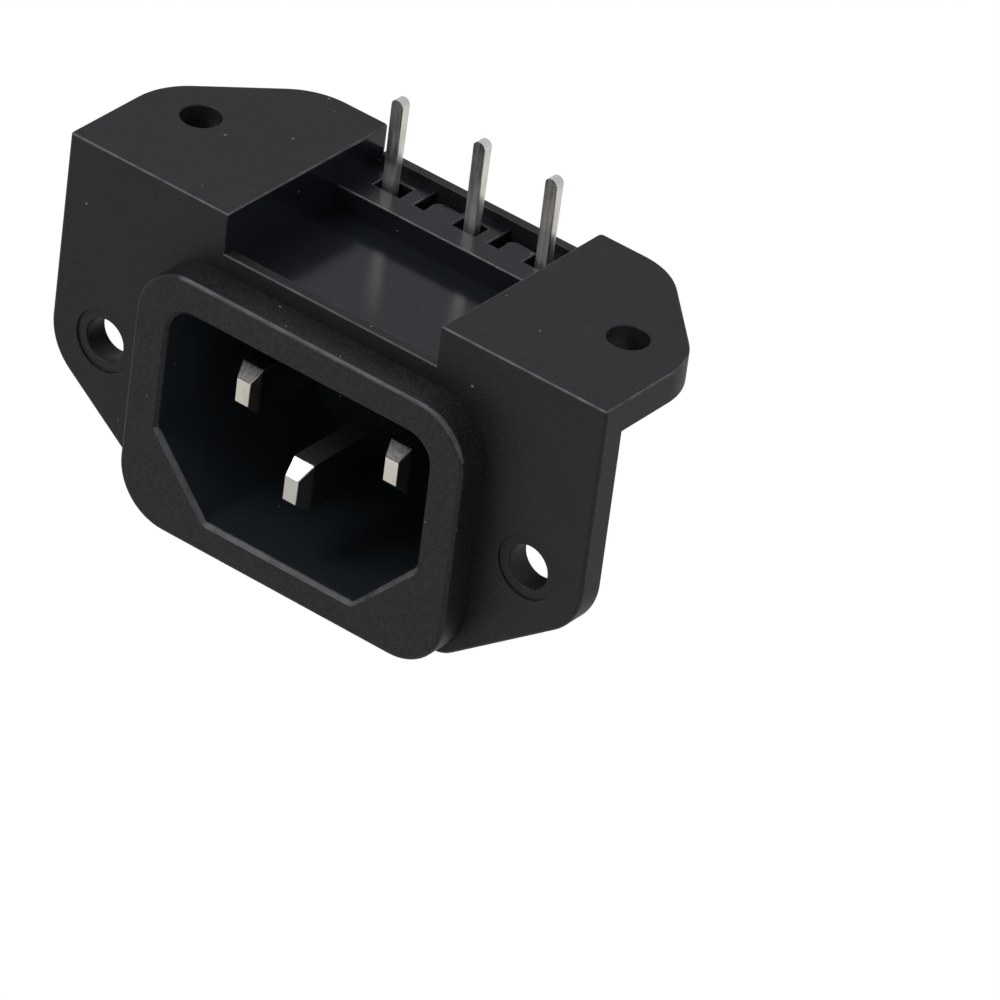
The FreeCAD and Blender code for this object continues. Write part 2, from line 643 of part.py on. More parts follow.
os.makedirs("parts", exist_ok=True)
for part in PARTS:
    part.Shape.exportStep("parts/%s.step" % part.Label)
    box = part.Shape.BoundBox
    print("%-17s %9.2f mm3  x %7.2f..%6.2f  y %6.2f..%6.2f  z %6.2f..%6.2f" % (
        part.Label, part.Shape.Volume, box.XMin, box.XMax, box.YMin, box.YMax,
        box.ZMin, box.ZMax))
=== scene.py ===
import logging
import math
from dataclasses import dataclass
from enum import Enum
from typing import Callable, Sequence, Union

import bmesh
import bpy
import numpy as np
from mathutils import Matrix, Vector


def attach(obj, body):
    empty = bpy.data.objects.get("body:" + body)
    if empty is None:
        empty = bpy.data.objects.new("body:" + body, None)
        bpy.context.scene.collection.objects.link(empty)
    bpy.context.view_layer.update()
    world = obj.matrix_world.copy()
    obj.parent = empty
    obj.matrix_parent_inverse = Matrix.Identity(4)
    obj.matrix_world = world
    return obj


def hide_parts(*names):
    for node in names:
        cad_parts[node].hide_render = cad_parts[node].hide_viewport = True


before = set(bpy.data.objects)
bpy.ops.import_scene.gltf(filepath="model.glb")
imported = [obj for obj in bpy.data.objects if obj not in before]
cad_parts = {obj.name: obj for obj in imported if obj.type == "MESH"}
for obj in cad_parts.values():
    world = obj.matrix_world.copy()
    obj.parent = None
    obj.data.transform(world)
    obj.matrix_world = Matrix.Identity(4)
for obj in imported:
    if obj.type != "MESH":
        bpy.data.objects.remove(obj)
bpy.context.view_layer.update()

LOG = logging.getLogger("inlet")
MM = 0.001
Triple = tuple[float, float, float]
Colour = Triple
Number = Union[float, "Sock"]

# Places of the part that the finishes depend on, in millimetres
TROUGH_HALF_MM = 9.93
TROUGH_FRONT_MM = 0.9
TROUGH_FLOOR_MM = 10.95
RECESS_HALF_MM = 12.25
RECESS_LOW_MM = -8.45
RECESS_HIGH_MM = 8.05
COLLAR_FRONT_MM = -2.8
RECESS_FLOOR_MM = 13.7
FLANGE_BOTTOM_MM = -11.05
BOARD_FACE_MM = 15.85
RIM_STRIP_MM = 0.30
LEFT_CORNER_MM = -11.8
NOSE_DEPTH_MM = 2.4
RIB_FRONT_MM = 12.8
RIGHT_EDGE_MM = 24.3
MOUTH_BREAK_MM = 0.32
COLLAR_RIM_MM = 0.40
ARRIS_MM = 0.22
FLANGE_RIM_MM = 0.4
BEHIND_FLOOR_MM = 3.0
PAD_WIDE_MM = 0.2
MARGIN_MM = 0.05
HAIR_MM = 0.02

# Meshes
WELD_MM = 0.002
FLAT_DEG = 0.6
SLIM_RATIO = 1.6
ROUND_PROFILE = 0.5
# Edges at least this long get the painted highlight on their upward bevels
SHEEN_LENGTH_MM = 1.0
NO_GIRTH = 1e-9
NORMAL_WEIGHT = 60

# Amounts of polish, of painted highlight on rims and of painted dark reflection on blades,
# from 0 to 1
PAD_POLISH = 0.80
EDGE_SHEEN = 0.7
COLLAR_SHEEN = 0.65
# How much painted dark reflection the lower blade gets on its bevel, top and front
LOWER_BEVEL_SHADE = 0.30
LOWER_TOP_SHADE = 0.62
LOWER_FRONT_SHADE = 0.22

# Slopes of faces, as components of the normal
UPWARD_FROM = 0.25
LEVEL_FROM_UP = 0.95
SQUARE_FROM = 0.94
SIDE_FROM = 0.7

# Moulded plastic: sizes in millimetres and strengths of its patterns
CLOUD_MM = 3.5
# Size of the noise that breaks up the painted highlight on the rims
BREAKUP_MM = 1.3
RIPPLE_RATIO = 4.5
CLOUD_ROUGHNESS = 0.07
GRAIN_ROUGHNESS = 0.10
SPECK_CHOSEN_OVER = 0.55
SPECK_COVER = 0.5
MOTTLE = 2.0
MOTTLE_FRONT = 2.4
MOTTLE_CLOUD = 0.9
SKIN_DARK = 0.60
SKIN_LIGHT = 1.65
# These break up the painted highlight on the rims and set how much of it shows
BREAKUP_MIDDLE = 0.40
BREAKUP_CONTRAST = 1.7
BREAKUP_BIAS = 0.45
SHEEN_COVER = 0.75
RIPPLE_HEIGHT = 0.6
SPECK_HEIGHT = 0.8
POLISH_FLATTENS = 0.86
# Grain bump is flattened under the painted highlight
SHEEN_FLATTENS = 0.7
PLASTIC_IOR = 1.5

# Plated metal: size in millimetres and strengths of its patterns
PIT_MM = 0.22
# Roughness added where the painted cream highlight of the legs lies
LOW_HIGHLIGHT_ROUGHNESS = 0.14
# Roughness added where the painted dark reflection of the blades lies
DULL_ROUGHNESS = 0.32
STAIN_CONTRAST = 2.2
PIT_CONTRAST = 0.5
STAIN_BIAS = 0.25
# How much of the painted cream highlight covers the lower legs
LOW_HIGHLIGHT_COVER = 0.8
STREAK_STRENGTH = 0.45
PIT_HEIGHT = 0.35
# Greys of the painted dark reflection on the blades, mixed by the pits
REFLECTION_GREY_DARK = (0.02, 0.02, 0.02)
REFLECTION_GREY_LIGHT = (0.30, 0.295, 0.28)


class Slot(Enum):
    """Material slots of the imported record."""

    HOUSING = "housing_plastic"
    COVER = "cover_plastic"
    BLADE = "blade_plating"
    TERMINAL = "terminal_plating"


@dataclass(frozen=True)
class PlasticFinish:
    """Moulded plastic: a grained outer skin and polished inner faces, with a painted shade
    tint inside, painted fill light in the recess and a painted highlight on the rims.
    """

    name: str
    base: Colour
    # Teal colour of the polished inner faces, a painted shade tint
    shade_tint_base: Colour
    # Lighter colour of the recess faces, painted fill light
    fill_base: Colour
    speck: Colour
    matt_roughness: float
    polished_roughness: float
    specular: float
    grain_mm: float
    grain_depth_mm: float
    grain_strength: float
    speck_spacing_mm: float
    speck_size: float
    # Light grey of the painted highlight on the upward rims
    stain_and_sheen: Colour
    coat: float


@dataclass(frozen=True)
class MetalFinish:
    """Plated metal with fine marks that run one way, a painted cream highlight low down and a
    painted dark reflection where the mesh marks it.
    """

    name: str
    bright: Colour
    dull: Colour
    roughness: float
    roughness_swing: float
    streak_mm: Triple
    streak_depth_mm: float
    stain_mm: float
    # Cream of the painted highlight low on the legs, between the two heights below
    low_highlight: Colour
    highlight_low_mm: float
    highlight_high_mm: float
    side_shine: float


@dataclass(frozen=True)
class EdgeFinish:
    """How sharp edges of a piece are broken."""

    width_mm: float
    steps: int
    sharp_from_deg: float
    # Whether the upward bevels of these edges get the painted highlight
    takes_sheen: bool


@dataclass(frozen=True)
class SoftBox:
    """Square soft light that looks at the object."""

    name: str
    direction: Triple
    distance_m: float
    size_m: float
    radiance: float
    colour: Colour


@dataclass(frozen=True)
class CameraFit:
    """Viewpoint fitted to the photograph: three angles in radians, the rest in mm."""

    yaw: float
    pitch: float
    roll: float
    distance: float
    right: float
    up: float
    lens: float


@dataclass(frozen=True)
class Piece:
    """A visible piece, the solid it stands for and its finish."""

    name: str
    node: str
    slot: Slot
    edge: EdgeFinish


# The teal inner colour is a painted shade tint, the lighter recess colour is painted fill
# light and the light grey is the painted highlight of the rims
HOUSING_FINISH = PlasticFinish(
    name="housing_moulding", base=(0.0078, 0.0082, 0.0096),
    shade_tint_base=(0.0062, 0.0082, 0.0104), fill_base=(0.0108, 0.0148, 0.0172),
    speck=(0.22, 0.21, 0.20),
    matt_roughness=0.46, polished_roughness=0.16, specular=0.25, grain_mm=0.17,
    grain_depth_mm=0.026, grain_strength=1.0, speck_spacing_mm=1.9, speck_size=0.066,
    stain_and_sheen=(0.120, 0.120, 0.126), coat=0.06)
COVER_FINISH = PlasticFinish(
    name="cover_moulding", base=(0.0080, 0.0083, 0.0096),
    shade_tint_base=(0.0080, 0.0100, 0.0120), fill_base=(0.0080, 0.0100, 0.0120),
    speck=(0.20, 0.19, 0.18),
    matt_roughness=0.42, polished_roughness=0.20, specular=0.27, grain_mm=0.15,
    grain_depth_mm=0.022, grain_strength=0.9, speck_spacing_mm=3.0, speck_size=0.032,
    stain_and_sheen=(0.110, 0.110, 0.115), coat=0.0)
BLADE_FINISH = MetalFinish(
    name="blade_plating", bright=(0.77, 0.752, 0.710), dull=(0.62, 0.59, 0.53),
    roughness=0.17, roughness_swing=0.07, streak_mm=(0.14, 3.0, 0.14),
    streak_depth_mm=0.0012, stain_mm=2.4, low_highlight=(0.80, 0.78, 0.73),
    highlight_low_mm=-40.0, highlight_high_mm=-39.0,  # below the part, so the blades get no painted lower highlight
    side_shine=0.0)
# The cream colour low on the legs is a painted highlight
TERMINAL_FINISH = MetalFinish(
    name="terminal_plating", bright=(0.80, 0.785, 0.755), dull=(0.56, 0.54, 0.50),
    roughness=0.28, roughness_swing=0.40, streak_mm=(0.26, 0.26, 4.5),
    streak_depth_mm=0.0022, stain_mm=1.8, low_highlight=(0.93, 0.90, 0.83),
    highlight_low_mm=14.5, highlight_high_mm=21.0, side_shine=0.20)

MOULDED_EDGE = EdgeFinish(width_mm=0.12, steps=3, sharp_from_deg=40.0, takes_sheen=True)
PLATE_EDGE = EdgeFinish(width_mm=0.07, steps=2, sharp_from_deg=40.0, takes_sheen=True)
BLADE_EDGE = EdgeFinish(width_mm=0.10, steps=3, sharp_from_deg=12.0, takes_sheen=False)
SHEET_EDGE = EdgeFinish(width_mm=0.13, steps=3, sharp_from_deg=40.0, takes_sheen=False)

PIECES = (
    Piece("housing_moulding", "housing", Slot.HOUSING, MOULDED_EDGE),
    Piece("rear_cover_plate", "rear_cover", Slot.COVER, PLATE_EDGE),
    Piece("line_contact", "line_blade", Slot.BLADE, BLADE_EDGE),
    Piece("neutral_contact", "neutral_blade", Slot.BLADE, BLADE_EDGE),
    Piece("earth_contact", "earth_blade", Slot.BLADE, BLADE_EDGE),
    Piece("line_stamping", "line_terminal", Slot.TERMINAL, SHEET_EDGE),
    Piece("neutral_stamping", "neutral_terminal", Slot.TERMINAL, SHEET_EDGE),
    Piece("earth_stamping", "earth_terminal", Slot.TERMINAL, SHEET_EDGE),
)

CAMERA = CameraFit(yaw=0.5940, pitch=0.5823, roll=0.1339, distance=672.48,
                   right=13.709, up=-3.4318, lens=332.18)
SENSOR_MM = 36.0
CLIP_NEAR_M = 0.01
CLIP_FAR_M = 10.0

LIGHTS = (
    SoftBox("key", (-0.42, -0.40, 0.815), 0.55, 0.26, 8.6, (1.0, 0.975, 0.995)),
    SoftBox("right", (0.90, -0.25, 0.36), 0.60, 0.11, 7.0, (1.0, 1.0, 1.0)),
)
SKY_STRENGTH = 0.64
SKY_COLOUR = (0.965, 0.93, 1.0)
FLOOR_SEEN = 1.0
FLOOR_MIRRORED = 0.71
FLOOR_HALF_M = 1.6
FLOOR_GAP_MM = 0.02
FLOOR_PAPER = (0.82, 0.82, 0.81)
FLOOR_TINT = (1.0, 0.985, 0.96)
WHITE = (1.0, 1.0, 1.0)


class Sock:
    """Output socket that takes part in sums and products of its node tree."""

    def __init__(self, graph: "ShaderGraph", socket: bpy.types.NodeSocket) -> None:
        """Keep a socket and the graph that it belongs to."""
        self.graph = graph
        self.socket = socket

    def __add__(self, other: Number) -> "Sock":
        """This value plus the other."""
        return self.graph.math("ADD", self, other)

    def __radd__(self, other: Number) -> "Sock":
        """The other value plus this one."""
        return self.graph.math("ADD", other, self)

    def __sub__(self, other: Number) -> "Sock":
        """This value less the other."""
        return self.graph.math("SUBTRACT", self, other)

    def __rsub__(self, other: Number) -> "Sock":
        """The other value less this one."""
        return self.graph.math("SUBTRACT", other, self)

    def __mul__(self, other: Number) -> "Sock":
        """This value times the other."""
        return self.graph.math("MULTIPLY", self, other)

    def __rmul__(self, other: Number) -> "Sock":
        """The other value times this one."""
        return self.graph.math("MULTIPLY", other, self)

    def __gt__(self, other: Number) -> "Sock":
        """1 where this value is the greater one, else 0."""
        return self.graph.math("GREATER_THAN", self, other)

    def __lt__(self, other: Number) -> "Sock":
        """1 where this value is the smaller one, else 0."""
        return self.graph.math("LESS_THAN", self, other)

    def clamped(self) -> "Sock":
        """The same value, held between 0 and 1."""
        return self.graph.math("ADD", self, 0.0, clamp=True)


class ShaderGraph:
    """Node tree of one material or world, with its output node."""

    def __init__(self, owner: Union[bpy.types.Material, bpy.types.World],
                 output: str = "ShaderNodeOutputMaterial") -> None:
        """Start an empty tree.

        Args:
            owner: Material or world that the tree belongs to.
            output: Type name of its output node.
        """
        self.owner = owner
        owner.use_nodes = True
        self.tree = owner.node_tree
        self.tree.nodes.clear()
        self.output = self.tree.nodes.new(output)

    def link(self, value: object, socket: bpy.types.NodeSocket) -> None:
        """Feed a socket with another one, or set its value.

        Args:
            value: Output socket or plain value.
            socket: Input socket that takes it.
        """
        if isinstance(value, Sock):
            self.tree.links.new(value.socket, socket)
        else:
            socket.default_value = value

    def node(self, kind: str, output: Union[str, int] = 0, inputs: dict | None = None,
             **settings: object) -> Sock:
        """Add a node.

        Args:
            kind: Type name of the node.
            output: Name or number of the output that is returned.
            inputs: Values or sockets by input name or number.
            **settings: Properties of the node.

        Returns:
            The chosen output.
        """
        made = self.tree.nodes.new(kind)
        for key, value in settings.items():
            setattr(made, key, value)
        for key, value in (inputs or {}).items():
            self.link(value, made.inputs[key])
        return Sock(self, made.outputs[output])

    def math(self, operation: str, first: Number, second: Number = 0.0,
             clamp: bool = False) -> Sock:
        """Result of one arithmetic operation."""
        return self.node("ShaderNodeMath", operation=operation, use_clamp=clamp,
                         inputs={0: first, 1: second})

    def mix_colour(self, factor: Number, first: object, second: object) -> Sock:
        """Blend of two colours: first * (1 - factor) + second * factor."""
        return self.node("ShaderNodeMix", 2, data_type="RGBA",
                         inputs={0: factor, 6: first, 7: second})

    def object_place(self, scale: Sequence[float] = (1.0, 1.0, 1.0)) -> Sock:
        """Object coordinates, stretched along the axes."""
        place = self.node("ShaderNodeTexCoord", "Object")
        return self.node("ShaderNodeMapping", inputs={"Vector": place, "Scale": tuple(scale)})

    def noise(self, place: Sock, size_mm: float, detail: float = 2.0) -> Sock:
        """Noise whose features are about size_mm across."""
        return self.node("ShaderNodeTexNoise", "Fac", inputs={
            "Vector": place, "Scale": 1.0 / (size_mm * MM), "Detail": detail})

    def finish(self, shader: Sock) -> Union[bpy.types.Material, bpy.types.World]:
        """Connect the surface and return the owner of the tree."""
        self.tree.links.new(shader.socket, self.output.inputs["Surface"])
        return self.owner


def rgba(colour: Colour) -> tuple[float, float, float, float]:
    """Colour with full opacity."""
    return (*colour, 1.0)


class PlasticShader:
    """Builds the moulded plastic of a finish."""

    def __init__(self, finish: PlasticFinish) -> None:
        """Keep the finish."""
        self.finish = finish

    def build(self) -> bpy.types.Material:
        """Material whose roughness follows the attribute "polish".

        roughness = matt + (polished - matt) * polish
                    + CLOUD_ROUGHNESS * (cloud - 0.5) + GRAIN_ROUGHNESS * (grain - 0.5)

        Returns:
            The material.
        """
        f = self.finish
        g = ShaderGraph(bpy.data.materials.new(f.name))
        place = g.object_place()
        polish = g.node("ShaderNodeAttribute", "Fac", attribute_name="polish")
        cloud = g.noise(place, CLOUD_MM, detail=3.0)
        grain = g.noise(place, f.grain_mm, detail=2.0)
        ripple = g.noise(place, f.grain_mm * RIPPLE_RATIO, detail=1.0)
        roughness = (polish * (f.polished_roughness - f.matt_roughness)
                     + f.matt_roughness + (cloud - 0.5) * CLOUD_ROUGHNESS
                     + (grain - 0.5) * GRAIN_ROUGHNESS)
        # Painted highlight on the upward rims, from the mesh
        painted_light = g.node("ShaderNodeAttribute", "Fac", attribute_name="painted_light")
        sheen_breakup = g.noise(place, BREAKUP_MM, detail=4.0)
        cells = 1.0 / (f.speck_spacing_mm * MM)
        away = g.node("ShaderNodeTexVoronoi", "Distance", feature="F1",
                      inputs={"Vector": place, "Scale": cells})
        chosen = g.node("ShaderNodeTexVoronoi", "Color", feature="F1",
                        inputs={"Vector": place, "Scale": cells})
        pick = g.node("ShaderNodeSeparateColor", 0, inputs={0: chosen})
        speck = (away < pick * f.speck_size) * (pick > SPECK_CHOSEN_OVER)
        depth = g.node("ShaderNodeSeparateXYZ", "Y", inputs={0: place})
        coarse = (depth < 0.0) * MOTTLE_FRONT + MOTTLE
        mottle = ((grain - 0.5) * coarse + (cloud - 0.5) * MOTTLE_CLOUD + 0.5).clamped()
        skin = g.mix_colour(mottle, rgba(tuple(c * SKIN_DARK for c in f.base)),
                            rgba(tuple(c * SKIN_LIGHT for c in f.base)))
        # Painted fill light on the recess faces, from the mesh
        painted_fill = g.node("ShaderNodeAttribute", "Fac", attribute_name="painted_fill")
        # Teal painted shade tint on polished faces, lightened by painted fill light in the
        # recess
        painted_inner = g.mix_colour(painted_fill, rgba(f.shade_tint_base), rgba(f.fill_base))
        tint = g.mix_colour(polish, skin, painted_inner)
        dusty = g.mix_colour(speck * SPECK_COVER, tint, rgba(f.speck))
        # Painted highlight on the rims, broken up by noise, in light grey
        stain_and_sheen = painted_light * ((sheen_breakup - BREAKUP_MIDDLE) * BREAKUP_CONTRAST + BREAKUP_BIAS).clamped()
        colour = g.mix_colour(stain_and_sheen * SHEEN_COVER, dusty, rgba(f.stain_and_sheen))
        height = grain + ripple * RIPPLE_HEIGHT + speck * SPECK_HEIGHT
        strength = ((1.0 - POLISH_FLATTENS * polish) * (1.0 - SHEEN_FLATTENS * painted_light)
                    * f.grain_strength)
        bump = g.node("ShaderNodeBump", "Normal", inputs={
            "Strength": strength, "Distance": f.grain_depth_mm * MM, "Height": height})
        surface = g.node("ShaderNodeBsdfPrincipled", "BSDF", inputs={
            "Base Color": colour, "Roughness": roughness.clamped(), "Normal": bump,
            "Specular IOR Level": f.specular, "IOR": PLASTIC_IOR,
            "Coat Weight": polish * f.coat, "Coat Roughness": f.polished_roughness,
            "Coat IOR": PLASTIC_IOR})
        return g.finish(surface)


class MetalShader:
    """Builds the plated metal of a finish."""

    def __init__(self, finish: MetalFinish) -> None:
        """Keep the finish."""
        self.finish = finish

    def build(self) -> bpy.types.Material:
        """Material with drawn streaks, faint stains, a painted cream highlight towards the
        bottom and a painted dark reflection on marked faces.

        film = (high - z) / (high - low), held between 0 and 1
        roughness = base + swing * (streak + stain - 1) + LOW_HIGHLIGHT_ROUGHNESS * film
                    + DULL_ROUGHNESS * wear - shine * polish * (1 - film)

        Returns:
            The material.
        """
        f = self.finish
        g = ShaderGraph(bpy.data.materials.new(f.name))
        place = g.object_place()
        drawn = g.object_place([1.0 / s for s in f.streak_mm])
        streak = g.noise(drawn, 1.0, detail=3.0)
        stain = g.noise(place, f.stain_mm, detail=3.0)
        pits = g.noise(place, PIT_MM, detail=2.0)
        # Painted dark reflection on the blades, from the mesh; it also adds roughness
        painted_light = g.node("ShaderNodeAttribute", "Fac", attribute_name="painted_light")
        # Painted cream highlight, strongest low on the part
        high = g.node("ShaderNodeSeparateXYZ", "Z", inputs={0: place})
        span = (f.highlight_high_mm - f.highlight_low_mm) * MM
        low_highlight = (high * (-1.0 / span) + f.highlight_high_mm * MM / span).clamped()
        polish = g.node("ShaderNodeAttribute", "Fac", attribute_name="polish")
        roughness = ((streak + stain - 1.0) * f.roughness_swing + f.roughness
                     + low_highlight * LOW_HIGHLIGHT_ROUGHNESS + painted_light * DULL_ROUGHNESS
                     - polish * (1.0 - low_highlight) * f.side_shine)
        stain_and_sheen = ((stain - 0.5) * STAIN_CONTRAST + (pits - 0.5) * PIT_CONTRAST
                + STAIN_BIAS).clamped()
        # Grey of the painted dark reflection
        grey = g.mix_colour(pits, rgba(REFLECTION_GREY_DARK), rgba(REFLECTION_GREY_LIGHT))
        plated = g.mix_colour(stain_and_sheen, rgba(f.bright), rgba(f.dull))
        highlighted = g.mix_colour(low_highlight * LOW_HIGHLIGHT_COVER, plated, rgba(f.low_highlight))
        colour = g.mix_colour(painted_light, highlighted, grey)
        bump = g.node("ShaderNodeBump", "Normal", inputs={
            "Strength": STREAK_STRENGTH, "Distance": f.streak_depth_mm * MM,
            "Height": streak + pits * PIT_HEIGHT})
        surface = g.node("ShaderNodeBsdfPrincipled", "BSDF", inputs={
            "Base Color": colour, "Roughness": roughness.clamped(), "Normal": bump,
            "Metallic": 1.0})
        return g.finish(surface)


class MeshWork:
    """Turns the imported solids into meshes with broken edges."""

    @staticmethod
    def softened(source: bpy.types.Object, edge: EdgeFinish, name: str) -> bpy.types.Mesh:
        """Copy of a solid's mesh with plane faces joined and sharp edges rounded.

        Edges stay sharp beside a face slimmer than SLIM_RATIO widths, where the
        width of a face is 2 * area / girth.

        Args:
            source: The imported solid.
            edge: Width, steps and threshold of the rounding.
            name: Name of the new mesh.

        Returns:
            The new mesh.
        """
        work = bmesh.new()
        work.from_mesh(source.data)
        bmesh.ops.remove_doubles(work, verts=work.verts, dist=WELD_MM * MM)
        bmesh.ops.dissolve_limit(work, angle_limit=math.radians(FLAT_DEG), verts=work.verts,
                                 edges=work.edges)
        limit = math.radians(edge.sharp_from_deg)
        slim = {f for f in work.faces
                if 2.0 * f.calc_area() / f.calc_perimeter() < SLIM_RATIO * edge.width_mm * MM}
        sharp = [e for e in work.edges
                 if len(e.link_faces) == 2 and e.calc_face_angle(0.0) > limit
                 and e.is_convex and not slim.intersection(e.link_faces)]
        # Long rounded edges that face up get the painted highlight of the rims
        stain_and_sheen = work.faces.layers.float.new("painted_light")
        made = bmesh.ops.bevel(work, geom=sharp, offset=edge.width_mm * MM,
                               offset_type="OFFSET", segments=edge.steps,
                               profile=ROUND_PROFILE,
                               affect="EDGES", clamp_overlap=False, loop_slide=True)
        for face in made["faces"]:
            face.normal_update()
            along = max(e.calc_length() for e in face.edges)
            catches_sheen = (edge.takes_sheen and face.normal.z > UPWARD_FROM
                      and along > SHEEN_LENGTH_MM * MM)
            face[stain_and_sheen] = EDGE_SHEEN if catches_sheen else 0.0
        for face in work.faces:
            face.smooth = True
        for ridge in work.edges:
            ridge.smooth = len(ridge.link_faces) != 2 or ridge.calc_face_angle(0.0) < limit
        mesh = bpy.data.meshes.new(name)
        work.to_mesh(mesh)
        work.free()
        return mesh

    @staticmethod
    def face_centres(mesh: bpy.types.Mesh) -> np.ndarray:
        """Centres of the faces.

        Args:
            mesh: Any mesh.

        Returns:
            One row of millimetres for each face.
        """
        centres = np.zeros(len(mesh.polygons) * 3)
        mesh.polygons.foreach_get("center", centres)
        return centres.reshape(-1, 3) / MM

    @staticmethod
    def face_normals(mesh: bpy.types.Mesh) -> np.ndarray:
        """Normals of the faces.

        Args:
            mesh: Any mesh.

        Returns:
            One row for each face.
        """
        normals = np.zeros(len(mesh.polygons) * 3)
        mesh.polygons.foreach_get("normal", normals)
        return normals.reshape(-1, 3)

    @staticmethod
    def face_spans(mesh: bpy.types.Mesh) -> tuple[np.ndarray, np.ndarray]:
        """Lowest and highest coordinates of the faces.

        Args:
            mesh: Any mesh.

        Returns:
            Two arrays with one row of millimetres for each face.
        """
        places = np.zeros(len(mesh.vertices) * 3)
        mesh.vertices.foreach_get("co", places)
        corners = np.zeros(len(mesh.loops), np.int32)
        mesh.loops.foreach_get("vertex_index", corners)
        starts = np.zeros(len(mesh.polygons), np.int32)
        mesh.polygons.foreach_get("loop_start", starts)
        rows = places.reshape(-1, 3)[corners] / MM
        return (np.minimum.reduceat(rows, starts, axis=0),
                np.maximum.reduceat(rows, starts, axis=0))

    @staticmethod
    def store(mesh: bpy.types.Mesh, name: str, values: np.ndarray) -> None:
        """Keep one number for each face, or the larger one where there is one.

        Args:
            mesh: Mesh that keeps the numbers.
            name: Name of the attribute.
            values: One number for each face.
        """
        values = values.astype(np.float32)
        layer = mesh.attributes.get(name)
        if layer is None:
            layer = mesh.attributes.new(name, "FLOAT", "FACE")
        else:
            before = np.zeros(len(values), np.float32)
            layer.data.foreach_get("value", before)
            values = np.maximum(values, before)
        layer.data.foreach_set("value", values)

    @staticmethod
    def rim_sheen(mesh: bpy.types.Mesh) -> np.ndarray:
        """Painted highlight on the upward part of the rounded rims of the outer faces.

        width = 2 * area / girth, which is the width of a long strip

        Args:
            mesh: Mesh of the moulding.

        Returns:
            One number for each face.
        """
        areas = np.zeros(len(mesh.polygons))
        mesh.polygons.foreach_get("area", areas)
        girths = np.array([sum((mesh.vertices[a].co - mesh.vertices[b].co).length
                               for a, b in face.edge_keys) for face in mesh.polygons])
        normals = MeshWork.face_normals(mesh)
        x, y, z = MeshWork.face_centres(mesh).T
        strip = 2.0 * areas / np.maximum(girths, NO_GIRTH) / MM < RIM_STRIP_MM
        slanted = (normals[:, 2] > UPWARD_FROM) & (np.abs(normals).max(axis=1) < SQUARE_FROM)
        shoulder = (x < LEFT_CORNER_MM) & (z > 0.0) & (y < 0.0)
        edges = ((y < FLANGE_RIM_MM) | (np.abs(x) < TROUGH_HALF_MM + RIM_STRIP_MM)
                 | (x > RIGHT_EDGE_MM))
        arris = (z > BOARD_FACE_MM - ARRIS_MM) & edges
        rim = (y < COLLAR_FRONT_MM + COLLAR_RIM_MM) & ~shoulder
        # Painted highlight: full on the board-side arrises, less on the collar rim
        amount = np.where(arris, 1.0, np.where(rim, COLLAR_SHEEN, 0.0))
        return np.where(strip & slanted, amount, 0.0)

    @staticmethod
    def nose_shade(mesh: bpy.types.Mesh) -> np.ndarray:
        """Painted dark reflection, with more roughness, on a contact blade.

        The upper blades get it on the bevel at the nose, the lower one on its top and a
        little on its nose.

        Args:
            mesh: Mesh of the blade.

        Returns:
            One number for each face.
        """
        up = MeshWork.face_normals(mesh)[:, 2]
        y, z = MeshWork.face_centres(mesh)[:, 1:].T
        bevel = (y < NOSE_DEPTH_MM) & (up > UPWARD_FROM) & (up < LEVEL_FROM_UP)
        front = (y < 0.0) & (np.abs(up) < UPWARD_FROM)
        lower = np.select([bevel, up > LEVEL_FROM_UP, front],
                          [LOWER_BEVEL_SHADE, LOWER_TOP_SHADE, LOWER_FRONT_SHADE], 0.0)
        return np.where(z > 0.0, np.where(bevel, 1.0, 0.0), lower)


def recess_faces(mesh: bpy.types.Mesh) -> np.ndarray:
    """Faces that lie inside the recess or in the openings of its floor.

    Args:
        mesh: Mesh of the moulding.

    Returns:
        True or false for each face.
    """
    y = MeshWork.face_centres(mesh)[:, 1]
    lows, highs = MeshWork.face_spans(mesh)
    half = np.maximum(-lows[:, 0], highs[:, 0])
    return ((half < RECESS_HALF_MM + MARGIN_MM) & (lows[:, 2] > RECESS_LOW_MM - MARGIN_MM)
            & (highs[:, 2] < RECESS_HIGH_MM + MARGIN_MM)
            & (y > COLLAR_FRONT_MM + MOUTH_BREAK_MM)
            & (y < RECESS_FLOOR_MM + BEHIND_FLOOR_MM))


def housing_polish(mesh: bpy.types.Mesh) -> np.ndarray:
    """Polish of the inner faces of the moulding, 0 on its grained skin; it also brings in
    their painted shade tint.

    Args:
        mesh: Mesh of the moulding.

    Returns:
        One number for each face.
    """
    x, y, z = MeshWork.face_centres(mesh).T
    lows, highs = MeshWork.face_spans(mesh)
    trough = ((np.abs(x) < TROUGH_HALF_MM + HAIR_MM) & (y > TROUGH_FRONT_MM)
              & (z > TROUGH_FLOOR_MM - MARGIN_MM))
    pads = trough & (y > RIB_FRONT_MM) & (highs[:, 0] - lows[:, 0] > PAD_WIDE_MM)
    return np.where(trough | recess_faces(mesh), np.where(pads, PAD_POLISH, 1.0), 0.0)


def recess_fill(mesh: bpy.types.Mesh) -> np.ndarray:
    """Painted fill light: 1 on the walls and the floor of the recess, 0 elsewhere."""
    return np.where(recess_faces(mesh), 1.0, 0.0)


def side_polish(mesh: bpy.types.Mesh) -> np.ndarray:
    """1 on the faces that look along X, 0 elsewhere."""
    return np.where(np.abs(MeshWork.face_normals(mesh)[:, 0]) > SIDE_FROM, 1.0, 0.0)


def no_marks(mesh: bpy.types.Mesh) -> np.ndarray:
    """0 for every face."""
    return np.zeros(len(mesh.polygons))


